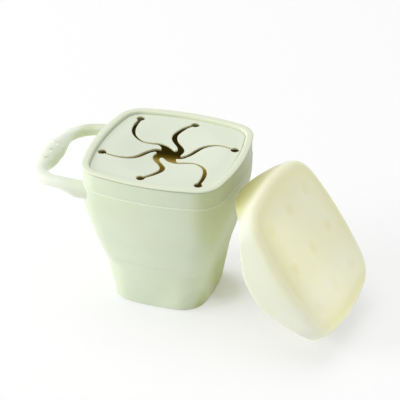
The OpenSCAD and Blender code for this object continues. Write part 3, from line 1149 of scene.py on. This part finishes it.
@dataclass
class FlapLid:
    """The lid: bead, plug, dished panel, and six springy petals between curved slits.

    Each slit's line gives x, y and the slit's reach to the left and right, from its end hole to
    the middle. Three are drawn, and the other three are their half turns. The bead's lines give
    the distance in from its outside, and the height above bead_z or the depth below bead_top.
    plug_heights are measured from the panel's underside, and the plug's foot from its walls.
    """

    workshop: Workshop
    bead: RoundSquare = RoundSquare(44.8, 15.3)
    bead_w: float = 4.8
    bead_z: float = 90.22
    bead_top: float = 91.3
    bead_low_line: tuple[Pair, ...] = ((0.8, 0.0), (0.3, 0.04), (0.06, 0.22), (0.0, 0.5), (0.1, 0.82))
    bead_high_line: tuple[Pair, ...] = (
        (0.45, 0.12), (1.1, 0.02), (2.2, 0.0), (3.2, 0.04), (3.9, 0.2), (4.3, 0.6), (4.5, 1.15),
        (4.62, 1.7), (4.72, 2.2), (4.95, 2.5), (5.4, 2.6), (6.1, 2.6))
    bead_steps: int = 3
    panel_top: float = 89.6
    panel_t: float = 1.15
    panel_lap: float = 0.4
    panel_steps: tuple[int, int] = (16, 12)
    plug_half: float = 42.25
    plug_wall: float = 1.2
    plug_z: float = 82.0
    plug_heights: Triple = (0.15, -0.3, -0.9)
    plug_foot_in: tuple[Pair, ...] = ((0.0, 0.5), (0.2, 0.1), (0.5, 0.0))
    plug_foot_out: tuple[Pair, ...] = ((0.5, 0.0), (0.15, 0.15), (0.0, 0.5))
    plug_fillet: Pair = (0.25, 0.4)
    cutter_reach: float = 5.0
    hole_r: float = 2.55
    hole_steps: int = 14
    dish: float = 2.3
    dish_r: float = 32.0
    dish_power: float = 1.5
    edge: float = 0.28
    edge_steps: int = 3
    level_slack: float = 0.001
    grid: float = 2.0
    grid_shift: float = 0.013
    tip: float = 1.7
    tip_shares: tuple[float, ...] = (0.14, 0.28, 0.42, 0.57, 0.71, 0.85)
    tip_least: float = 0.15
    least_step: float = 0.3
    root_slack: float = 0.02
    root_width: float = 0.03
    bend: Pair = (-0.2, 5.0)
    steps: int = 6
    slit_rim: float = 2.0
    upright_share: float = 0.75
    down_share: float = 0.5
    soft_angle: float = 30.0
    drawn_slits: tuple[tuple[Four, ...], ...] = (
        ((-28.7, 31.2, 1.35, 0.65), (-29.3, 25.0, 1.65, 0.8), (-28.4, 17.5, 1.55, 0.75),
         (-25.0, 11.2, 1.1, 0.65), (-18.8, 7.3, 0.8, 0.65), (-13.0, 7.5, 0.9, 0.7),
         (-8.7, 8.4, 1.3, 0.9), (-4.6, 6.0, 3.1, 1.8), (0.0, 0.0, 4.9, 3.0)),
        ((4.5, 34.1, 0.95, 0.85), (1.4, 31.0, 1.2, 0.95), (-1.6, 26.5, 1.7, 1.0),
         (-3.4, 21.0, 1.9, 1.15), (-2.6, 16.7, 1.9, 1.25), (0.0, 13.2, 1.6, 1.3),
         (3.0, 10.4, 1.6, 1.6), (4.9, 7.2, 2.0, 1.8), (4.4, 3.6, 3.5, 2.0), (0.0, 0.0, 6.5, 3.0)),
        ((35.7, 13.3, 0.75, 0.75), (32.0, 14.5, 0.65, 0.65), (27.0, 15.4, 0.75, 0.75),
         (22.0, 14.8, 0.9, 0.9), (17.5, 12.3, 1.2, 1.2), (14.8, 8.4, 1.4, 1.4), (12.8, 3.9, 1.4, 1.4),
         (10.8, 0.6, 1.4, 1.4), (7.4, -1.9, 2.0, 1.6), (0.0, 0.0, 3.6, 3.0)))

    def __post_init__(self) -> None:
        """Works out the six slits."""
        drawn = [curve_through(slit, self.steps) for slit in self.drawn_slits]
        self.slits = drawn + [[(-x, -y, left, right) for x, y, left, right in slit] for slit in drawn]

    def hole(self, i: int) -> Vector:
        """Plan centre of the end hole of slit i."""
        return Vector(self.slits[i % PETALS][0][:2])

    def root_line(self, i: int) -> tuple[Vector, Vector, Vector, Vector]:
        """The line that petal i bends on.

        Args:
            i: Number of the petal.

        Returns:
            The line's two ends, its direction, and the direction into the petal.
        """
        start, end = self.hole(i), self.hole(i + 1)
        root = (end - start).normalized()
        inward = Vector((root.y, -root.x))
        return start, end, root, -inward if inward.dot(start) > 0 else inward

    def root_test(self, *petals: int) -> Callable[[Vector, Vector], bool]:
        """Makes the test of whether an edge lies on the root line of one of the petals.

        Args:
            petals: Numbers of the petals.

        Returns:
            The test, of the edge's two ends in millimetres.
        """
        lines = [self.root_line(i) for i in petals]

        def on_root(a: Vector, b: Vector) -> bool:
            """Whether both points lie on one root line."""
            return any(all(abs((p.xy - start).cross(root)) < self.root_width for p in (a, b))
                       for start, _, root, _ in lines)

        return on_root

    def slit_side(self, i: int, side: int) -> list[Vector]:
        """One side of slit i, from the hole to the middle.

        Args:
            i: Number of the slit.
            side: 1 for the left side as seen from the hole, -1 for the right.

        Returns:
            Plan points in millimetres.
        """
        slit = self.slits[i % PETALS]
        found = []
        for k, (x, y, left, right) in enumerate(slit):
            along = direction(slit, k)
            reach = left if side > 0 else -right
            found.append(Vector((x, y)) + Vector((-along.y, along.x)) * reach)
        return found

    @staticmethod
    def crossing(a: Vector, b: Vector, c: Vector, d: Vector) -> Vector | None:
        """Where two stretches cross.

        Args:
            a: Start of the first.
            b: Its end.
            c: Start of the second.
            d: Its end.

        Returns:
            The plan point, or None.
        """
        r, s = b - a, d - c
        size = r.cross(s)
        if size == 0:
            return None
        t, u = (c - a).cross(s) / size, (c - a).cross(r) / size
        return a + r * t if 0 <= t <= 1 and 0 <= u <= 1 else None

    def past_hole(self, side: list[Vector], hole: Vector, inward: Vector) -> list[int]:
        """Finds where a slit's side runs behind the root line, outside its end hole.

        Args:
            side: Points of the slit's side, from the hole.
            hole: Centre of the hole.
            inward: Direction from the root line into the petal.

        Returns:
            Numbers of those points.
        """
        return [k for k, p in enumerate(side[: len(side) // 2])
                if (p - hole).dot(inward) < self.root_slack and (p - hole).length > self.hole_r]

    def from_hole(self, side: list[Vector], hole: Vector, root: Vector, inward: Vector) -> list[Vector]:
        """Cuts the start of a slit's side where the end hole or the root line takes it.

        Args:
            side: Points of the slit's side, from the hole.
            hole: Centre of the hole.
            root: Direction along the root line, away from the hole.
            inward: Direction from the root line into the petal.

        Returns:
            The petal's edge from its root line on.
        """
        beyond = self.past_hole(side, hole, inward)
        if beyond:
            k = max(beyond)
            a, b = side[k], side[k + 1]
            da, db = (a - hole).dot(inward), (b - hole).dot(inward)
            return [a + (b - a) * (-da / (db - da))] + side[k + 1:]
        k = max(k for k, p in enumerate(side[: len(side) // 2]) if (p - hole).length <= self.hole_r)
        a, b = side[k] - hole, side[k + 1] - hole
        meet = a + (b - a) * ((self.hole_r - a.length) / (b.length - a.length))
        start, stop = math.atan2(root.y, root.x), math.atan2(meet.y, meet.x)
        turn = (stop - start + math.pi) % math.tau - math.pi
        steps = self.hole_steps // 2
        arc = [hole + turned(start + turn * n / steps) * self.hole_r for n in range(steps + 1)]
        return arc + side[k + 1:]

    def petal_plan(self, i: int) -> list[Vector]:
        """Plan of petal i, between slits i and i + 1.

        Args:
            i: Number of the petal.

        Returns:
            The outline's points, the stretch from the last to the first being the root line.
        """
        start, end, root, inward = self.root_line(i)
        left = self.from_hole(self.slit_side(i, 1), start, root, inward)
        right = self.from_hole(self.slit_side(i + 1, -1), end, -root, inward)
        n, m, tip = next((n, m, point) for n in range(len(left) - 1) for m in range(len(right) - 1)
                         if (point := self.crossing(*left[n: n + 2], *right[m: m + 2])) is not None)
        a, b = self.shortened(left[: n + 1], tip), self.shortened(right[: m + 1], tip)
        round_tip = [a[-1] * (1 - t) ** 2 + tip * 2 * t * (1 - t) + b[-1] * t * t for t in self.tip_shares]
        outline = [a[0]]
        for point in (a + round_tip + b[::-1])[1:]:
            if (point - outline[-1]).length > self.least_step:
                outline.append(point)
        outline[-1] = b[0]
        return outline

    def shortened(self, side: list[Vector], tip: Vector) -> list[Vector]:
        """Cuts a petal's side short of its tip, so that the tip can be rounded.

        Args:
            side: The side's points.
            tip: The tip.

        Returns:
            The points that are kept.
        """
        kept = [p for p in side if (p - tip).length > self.tip]
        last = kept[-1]
        near = last + (tip - last) * max(1 - self.tip / (tip - last).length, 0.0)
        return kept + ([near] if (near - last).length > self.tip_least else [])

    def soften(self, piece: Piece, sharp: Callable[[Vector, Vector], bool]) -> None:
        """Rounds the upper and lower rims of a sheet.

        Args:
            piece: The sheet.
            sharp: Says which edges stay sharp.
        """
        pick(piece)
        bpy.ops.object.mode_set(mode="EDIT")
        bpy.ops.mesh.select_mode(type="EDGE")
        bpy.ops.mesh.select_all(action="DESELECT")
        mesh = edit_mesh(piece)
        for edge in mesh.edges:
            a, b = (vertex.co / MM for vertex in edge.verts)
            edge.select = abs(a.z - b.z) < self.level_slack and not sharp(a, b)
        mesh.select_flush_mode()
        bmesh.update_edit_mesh(piece.data)
        bpy.ops.mesh.bevel(offset=self.edge * MM, segments=self.edge_steps, affect="EDGES",
                           clamp_overlap=True)
        bpy.ops.object.mode_set(mode="OBJECT")

    def score(self, piece: Piece) -> None:
        """Cuts a sheet by a grid of planes, so that it can take the dish, and then into triangles.

        Args:
            piece: The sheet.
        """
        pick(piece)
        bpy.ops.object.mode_set(mode="EDIT")
        bpy.ops.mesh.select_mode(type="VERT")
        corners = [v.co / MM for v in piece.data.vertices]
        for axis in (0, 1):
            low, high = min(c[axis] for c in corners), max(c[axis] for c in corners)
            at = math.ceil(low / self.grid) * self.grid
            while at < high:
                place, normal = Vector((0, 0, 0)), Vector((0, 0, 0))
                place[axis], normal[axis] = (at + self.grid_shift) * MM, 1.0
                bpy.ops.mesh.select_all(action="SELECT")
                bpy.ops.mesh.bisect(plane_co=place, plane_no=normal, threshold=CUT_SLACK)
                at += self.grid
        bpy.ops.mesh.select_all(action="SELECT")
        bpy.ops.mesh.quads_convert_to_tris(quad_method="BEAUTY", ngon_method="BEAUTY")
        face_outwards()

    def dished(self, piece: Piece, sharp: Callable[[Vector, Vector], bool]) -> Piece:
        """Gives a flat sheet of the panel its soft edges and the panel's dish.

        Args:
            piece: The sheet.
            sharp: Says which edges stay sharp.

        Returns:
            The sheet.
        """
        self.soften(piece, sharp)
        self.score(piece)
        for vertex in piece.data.vertices:
            r = math.hypot(vertex.co.x / MM, vertex.co.y / MM) / self.dish_r
            vertex.co.z -= self.dish * max(1 - r * r, 0.0) ** self.dish_power * MM
        return piece

    def paint_slit_shade_and_glow(self, piece: Piece) -> None:
        """Gives the upright and lower faces of a sheet the slits' painted shade and glow.

        Args:
            piece: The sheet.
        """
        rim = self.bead.grown(-self.bead_w - self.slit_rim)

        def at_slit(face: bpy.types.MeshPolygon) -> bool:
            """Says whether a face stands upright or looks down, inside the bead.

            Args:
                face: The face.

            Returns:
                Whether it does.
            """
            x, y = abs(face.center.x) / MM, abs(face.center.y) / MM
            turned_away = abs(face.normal.z) < self.upright_share or face.normal.z < -self.down_share
            return turned_away and x < rim.reach(min(y, rim.half))

        # These faces take the painted shade and glow.
        paint_faces(piece, 1, at_slit)

    def hang_petal(self, piece: Piece, i: int) -> None:
        """Shades and dresses petal i.

        Args:
            piece: The petal.
            i: Its number.
        """
        smooth(piece, self.soft_angle)
        finishes = self.workshop.finishes
        self.workshop.dress(piece, "lid_silicone", finishes.lid, finishes.slit)
        self.paint_slit_shade_and_glow(piece)
        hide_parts(f"petal_{i + 1}")
        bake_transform(piece)
        self.workshop.report(piece, f"lid and {flap_body(i + 1)}")

    def opening_plan(self) -> list[Vector]:
        """Plan of the star-shaped opening that the petals fill, holes included.

        Returns:
            Its points in millimetres, in order round it.
        """
        opening = []
        for i in range(PETALS):
            start, end, root, inward = self.root_line(i)
            opening.append(start + root * self.hole_r)
            raw = self.slit_side(i + 1, -1)
            outer = [raw[k] for k in self.past_hole(raw, end, inward)]
            arrive = end - root * self.hole_r
            if outer:
                opening += self.from_hole(raw, end, -root, inward)[:1] + outer[::-1]
                arrive = end + (outer[0] - end).normalized() * self.hole_r
            opening.append(arrive)
            leave = self.root_line(i + 1)[2]
            first = math.atan2(*(arrive - end).yx)
            turn = (math.atan2(leave.y, leave.x) - first) % math.tau
            if turned(first + turn / 2).dot(end) < 0:
                turn -= math.tau
            opening += [end + turned(first + turn * n / self.hole_steps) * self.hole_r
                        for n in range(1, self.hole_steps)]
        return opening

    def build_border(self) -> Piece:
        """Models the panel's border round the petals.

        Returns:
            The border, a sheet with one star-shaped opening.
        """
        inner = self.bead.grown(-self.bead_w)
        outer = [Vector(p) for p in inner.grown(-self.panel_lap).plan(*self.panel_steps)]
        plate = slab("panel_border", outer, self.panel_top - self.panel_t, self.panel_top)
        cutter = slab("opening", self.opening_plan(), self.panel_top - self.cutter_reach,
                      self.panel_top + self.cutter_reach)
        combine(plate, cutter, Cut.DIFFERENCE)
        return self.dished(plate, self.root_test(*range(PETALS)))

    def build_frame(self) -> Piece:
        """Models the bead and the plug under it as one ring.

        Returns:
            The ring.
        """
        out, z = self.bead.half, self.plug_z
        profile = [(out - inset, self.bead_z + up) for inset, up in self.bead_low_line]
        profile += [(out - inset, self.bead_top - down) for inset, down in self.bead_high_line]
        inner = self.bead.half - self.bead_w
        plug_in, plug_out = min(inner, self.plug_half - self.plug_wall), self.plug_half
        under = [self.panel_top - self.panel_t + up for up in self.plug_heights]
        round_out, round_up = self.plug_fillet
        profile = curve_through(profile, self.bead_steps) + [
            *zip((profile[-1][0], inner - self.panel_lap, plug_in), under),
            *((plug_in + across, z + up) for across, up in self.plug_foot_in),
            *((plug_out - across, z + up) for across, up in self.plug_foot_out),
            (plug_out, self.bead_z - round_up), (plug_out + round_out, self.bead_z)]
        return loft("lid_frame", [self.bead.grown(half - out).ring(height) for half, height in profile],
                    Ends.JOINED)

    def build(self) -> None:
        """Builds the lid's frame with the panel's border, and the six petals."""
        lid = self.build_frame()
        border = self.build_border()
        self.workshop.dress(border, "lid_silicone", self.workshop.finishes.lid, self.workshop.finishes.slit)
        self.paint_slit_shade_and_glow(border)
        self.workshop.dress(lid, "lid_silicone", self.workshop.finishes.bead)
        pick(lid)
        border.select_set(True)
        bpy.ops.object.join()
        lid.name = "lid_bead_and_panel"
        smooth(lid, self.soft_angle)
        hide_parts("snack_lid")
        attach(lid, Body.LID.value)
        self.workshop.report(lid, Body.LID.value)
        half = PETALS // 2
        for i in range(half):
            petal = slab(f"lid_petal_{i + 1}", self.petal_plan(i), self.panel_top - self.panel_t,
                         self.panel_top)
            self.dished(petal, self.root_test(i))
            twin = petal.copy()
            twin.data = petal.data.copy()
            twin.name = f"lid_petal_{i + half + 1}"
            bpy.context.scene.collection.objects.link(twin)
            twin.data.transform(Matrix.Rotation(math.pi, 4, "Z"))
            self.hang_petal(petal, i)
            self.hang_petal(twin, i + half)


# ---- Dust cover ----


@dataclass
class DustCover:
    """The soft cover that leans on the cup: round shoulders, wavy edge and a thicker lip.

    Its painted glow and its painted light and shade lie along its own axes, in millimetres from its seat.
    """

    workshop: Workshop
    outline: RoundSquare = RoundSquare(46.4, 19.5)
    depth: float = 17.4
    shoulder: float = 6.4
    shoulder_steps: int = 8
    squareness: float = 2.5
    crown: float = 0.6
    wall: float = 1.2
    wave: float = 5.65
    ripple: float = 1.08
    edge_lift: float = 0.28
    lip_share: float = 0.2
    lip_out: float = 0.14
    lip_in: float = 0.056
    side_shares: tuple[float, ...] = (0.0, 0.04, 0.1, 0.2, 0.4, 0.6, 0.8)
    top_shares: tuple[float, ...] = (0.92, 0.8, 0.6, 0.4, 0.2, 0.06)
    tilt: float = 55.0
    turn: float = -3.8
    spin: float = -1.4
    centre: Triple = (76.563, -10.0, 41.263)
    pad_pitch: float = 26.0
    pad_shift: float = -3.0
    # Painted glow for light coming through the thin cover: faint towards the edge, brightest across the top.
    painted_foot_glow: Triple = (0.015, 0.015, 0.01)
    painted_glow: tuple[tuple[float, Triple], ...] = (
        (12.0, (0.02, 0.02, 0.01)), (16.8, (0.125, 0.12, 0.085)), (20.0, (0.13, 0.125, 0.085)))
    light_and_shade_tones: tuple[PaintedLightAndShade, ...] = (
        # Painted light: the side less yellow than the top, where light falls on it.
        PaintedLightAndShade(UP, (0.785, 0.815, 0.64), ((-12.0, 0.9), (11.0, 0.8), (16.0, 0.0), (20.0, 0.0))),
        # Painted shade: a dark yellow line along the shoulder, between the side and the top.
        PaintedLightAndShade(UP, (0.69, 0.675, 0.40),
             ((15.0, 0.0), (17.0, 0.15), (17.42, 0.7), (17.56, 0.35), (17.75, 0.0), (19.0, 0.0))),
        # Painted light: paler towards the cover's lower end.
        PaintedLightAndShade((1.0, 0.0, 0.0), (0.84, 0.86, 0.77), ((4.0, 0.0), (24.0, 0.4), (32.0, 0.4), (41.0, 0.0))),
        # Painted shade: a dark golden tone at the edge on the side that leans on the cup.
        PaintedLightAndShade((-1.0, 0.0, -1.0), (0.50, 0.47, 0.19), ((28.5, 0.0), (38.0, 0.75), (45.0, 0.9))))
    soft_angle: float = 50.0

    def seat(self) -> Matrix:
        """The cover's place, leaning on the cup.

        Returns:
            Its matrix.
        """
        turn, tilt, spin = (Matrix.Rotation(math.radians(angle), 4, axis)
                            for angle, axis in ((self.turn, "Z"), (self.tilt, "Y"), (self.spin, "Z")))
        return Matrix.Translation(Vector(self.centre) * MM) @ turn @ tilt @ spin

    def skin(self, inset: float) -> list[Ring]:
        """Rings up the side, over the shoulder and in across the top.

        Args:
            inset: Distance inside the cover's outside.

        Returns:
            The rings, from the edge to the middle of the top.
        """
        high, radius = self.depth - self.shoulder, self.shoulder - inset
        swell = -self.lip_in if inset else self.lip_out
        rings = []
        for s in self.side_shares:
            side = self.outline.grown(-inset + swell * (1 - ease(s / self.lip_share)))
            rings.append(side.ring(self.edge_lift * (1 - s) + high * s, self.wave * (1 - s),
                                   self.ripple * (1 - s)))
        power = 2 / self.squareness
        for i in range(self.shoulder_steps + 1):
            t = math.radians(90 * i / self.shoulder_steps)
            into = inset + radius * (1 - max(math.cos(t), 0.0) ** power)
            rings.append(self.outline.grown(-into).ring(high + radius * math.sin(t) ** power))
        top = self.outline.grown(-self.shoulder).plan()
        for share in self.top_shares:
            z = self.depth - inset + self.crown * (1 - share * share)
            rings.append([Vector((x * share, y * share, z)) * MM for x, y in top])
        return rings

    def finish(self) -> Silicone:
        """The milky silicone, with its painted glow, painted light and shade, and pads lying along the
        leaning cover.

        Returns:
            The finish.
        """
        seat = self.seat()
        along, across, up = axes = [seat.col[i].xyz for i in range(3)]
        base = seat.to_translation()
        light_and_shade = []
        for tone in self.light_and_shade_tones:
            axis = sum((part * share for part, share in zip(axes, tone.axis)), Vector())
            stops = tuple((axis.dot(base) + at * MM, share) for at, share in tone.stops)
            light_and_shade.append(PaintedLightAndShade(tuple(axis), tone.colour, stops))
        turns = 2 * math.pi / (self.pad_pitch * MM)
        pads = tuple((tuple(axis * turns), turns * (axis.dot(base) + shift * MM))
                     for axis, shift in ((along, 0.0), (across, self.pad_shift)))
        painted_glow = [(0.0, self.painted_foot_glow)] + [(up.dot(base) + at * MM, light) for at, light in self.painted_glow]
        return replace(self.workshop.finishes.cover, pads=pads, painted_glow=tuple(painted_glow), glow_axis=tuple(up),
                       light_and_shade=tuple(light_and_shade))

    def build(self) -> None:
        """Builds the cover."""
        inner, outer = self.skin(self.wall), self.skin(0.0)
        piece = loft("dust_cover_shell", inner[::-1] + outer, Ends.FLAT)
        piece.data.transform(self.seat())
        smooth(piece, self.soft_angle)
        self.workshop.dress(piece, "cover_silicone", self.finish())
        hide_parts("cover")
        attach(piece, Body.COVER.value)
        self.workshop.report(piece, Body.COVER.value)


# ---- Table, lights and camera ----


@dataclass
class Studio:
    """A pale table, soft daylight from the left, and the camera.

    Each lamp gives a name, its place in metres, the side of its square, and its power in watts.
    The camera and reflections see the table paler by white_share, and less so near shadow_at.
    """

    camera_at: Triple = (0.32069, -0.88067, 0.61975)
    camera_rows: tuple[Triple, ...] = (
        (0.94569, 0.32507, 0.0019), (0.16897, -0.48655, -0.85716), (-0.27771, 0.81093, -0.51505))
    lens: float = 168.88
    sensor: float = 36.0
    table_size: float = 6.0
    table_colour: Four = (0.985, 0.985, 0.99, 1.0)
    table_roughness: float = 0.8
    table_specular: float = 0.2
    white: Four = (1.0, 1.0, 1.0, 1.0)
    white_share: float = 0.52
    shadow_share: float = 0.16
    shadow_at: Triple = (0.030, 0.004, 0.0)
    shadow_reach: Pair = (0.007, 0.025)
    sky: float = 0.50
    lamps: tuple[tuple[str, Triple, float, float], ...] = (
        ("window", (-2.6, -1.3, 0.95), 1.8, 57.0), ("ceiling", (-0.6, 0.2, 2.2), 2.0, 21.0))
    lamps_look_at: Triple = (0.02, 0.0, 0.05)

    def build_table(self) -> None:
        """Adds the table top, which the camera sees paler than it is."""
        clear_selection()
        bpy.ops.mesh.primitive_plane_add(size=self.table_size, location=(0, 0, 0))
        table = bpy.context.object
        table.name = "table_top"
        paint = bpy.data.materials.new("white_table")
        paint.use_nodes = True
        kit = NodeKit(paint.node_tree)
        nodes = paint.node_tree.nodes
        shader = nodes["Principled BSDF"]
        for name, value in (("Base Color", self.table_colour), ("Roughness", self.table_roughness),
                            ("Specular IOR Level", self.table_specular)):
            kit.feed(shader.inputs[name], value)
        white = kit.add("Emission")
        kit.feed(white.inputs["Color"], self.white)
        kit.feed(white.inputs["Strength"], 1.0)
        # Beside the cup's foot the table is paled less, so the shadow there shows deeper: the shadow is
        # real, and its extra depth in this zone is painted shadow.
        away = kit.measure(Measure.AWAY, self.shadow_at)
        paler = kit.span(away, self.shadow_reach, (self.shadow_share, self.white_share), Way.SMOOTH)
        share = kit.calc(Sum.MULTIPLY, kit.seen_rays(), paler)
        kit.mix_shaders(share, shader.outputs["BSDF"], white.outputs["Emission"],
                        nodes["Material Output"].inputs["Surface"])
        table.data.materials.append(paint)

    def build_sky(self) -> None:
        """Adds even daylight, seen as white by the camera and in reflections."""
        world = bpy.data.worlds.new("daylight")
        bpy.context.scene.world = world
        world.use_nodes = True
        kit = NodeKit(world.node_tree)
        light, white = world.node_tree.nodes["Background"], kit.add("Background")
        for sky, strength in ((light, self.sky), (white, 1.0)):
            kit.feed(sky.inputs["Color"], self.white)
            kit.feed(sky.inputs["Strength"], strength)
        kit.mix_shaders(kit.seen_rays(), light.outputs["Background"], white.outputs["Background"],
                        world.node_tree.nodes["World Output"].inputs["Surface"])

    def build_lamps(self) -> None:
        """Adds the soft square lamps, which look at the cup."""
        for name, place, size, power in self.lamps:
            lamp = bpy.data.lights.new(name, "AREA")
            lamp.size, lamp.energy = size, power
            holder = bpy.data.objects.new(name, lamp)
            bpy.context.scene.collection.objects.link(holder)
            holder.location = place
            aim = Vector(self.lamps_look_at) - Vector(place)
            holder.rotation_euler = aim.to_track_quat("-Z", "Y").to_euler()

    def build_camera(self) -> None:
        """Adds the camera."""
        right, down, ahead = (Vector(row) for row in self.camera_rows)
        lens = bpy.data.cameras.new("camera")
        lens.lens, lens.sensor_width = self.lens, self.sensor
        camera = bpy.data.objects.new("camera", lens)
        bpy.context.scene.collection.objects.link(camera)
        turn = Matrix((right, -down, -ahead)).transposed().to_4x4()
        camera.matrix_world = Matrix.Translation(self.camera_at) @ turn
        bpy.context.scene.camera = camera

    def build(self) -> None:
        """Builds the whole studio."""
        self.build_table()
        self.build_sky()
        self.build_lamps()
        self.build_camera()
        bpy.context.scene.view_settings.view_transform = "Standard"
        LOG.info("studio ready")


def main() -> None:
    """Builds every class of the snack cup in order."""
    logging.basicConfig(level=logging.INFO, format="%(name)s: %(message)s")
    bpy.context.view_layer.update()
    workshop = Workshop()
    cup = FoldingCup(workshop)
    cup.build()
    LoopHandle(workshop, cup).build()
    FlapLid(workshop).build()
    DustCover(workshop).build()
    Studio().build()


if __name__ == "__main__":
    main()
